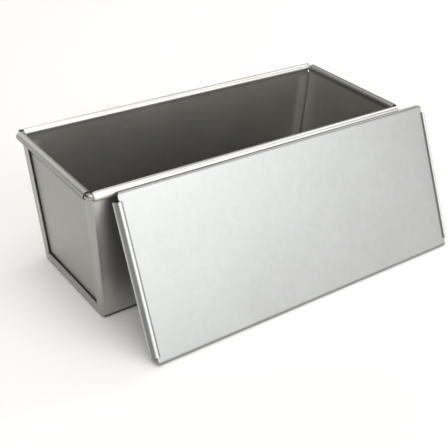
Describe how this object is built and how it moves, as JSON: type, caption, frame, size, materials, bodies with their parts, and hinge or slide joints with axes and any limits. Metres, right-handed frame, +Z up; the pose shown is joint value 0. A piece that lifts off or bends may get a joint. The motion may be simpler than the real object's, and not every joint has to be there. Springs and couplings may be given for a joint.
{
  "type": "pullman loaf pan",
  "caption": "Straight-sided sheet-steel loaf pan with a wired, rolled rim and folded end seams, its loose slide-on lid leaning against the long side.",
  "frame": {"origin": "On the table, under the middle of the pan's foot; the lid stands in front of it.", "axes": "+Z is up. +X runs along the pan to its right end as seen from the side that the lid leans on. The lid leans on the -Y side."},
  "size_m": [0.2775, 0.1544, 0.1],
  "materials": {
    "pan_sheet": "satin aluminised steel sheet, lightly speckled",
    "rim_wire": "plain drawn steel rod",
    "lid_sheet": "satin aluminised steel sheet, pale and lightly speckled"
  },
  "bodies": {
    "pan": {"trough": "pan_sheet", "left_end_panel": "pan_sheet", "right_end_panel": "pan_sheet", "rim_wire": "rim_wire"},
    "lid": {"lid": "lid_sheet"}
  },
  "joints": [
    {"name": "lid_lift", "type": "slide", "parent": "pan", "child": "lid", "axis": [0, -0.8965, 0.4431], "range_m": [0, 0.15]}
  ]
}
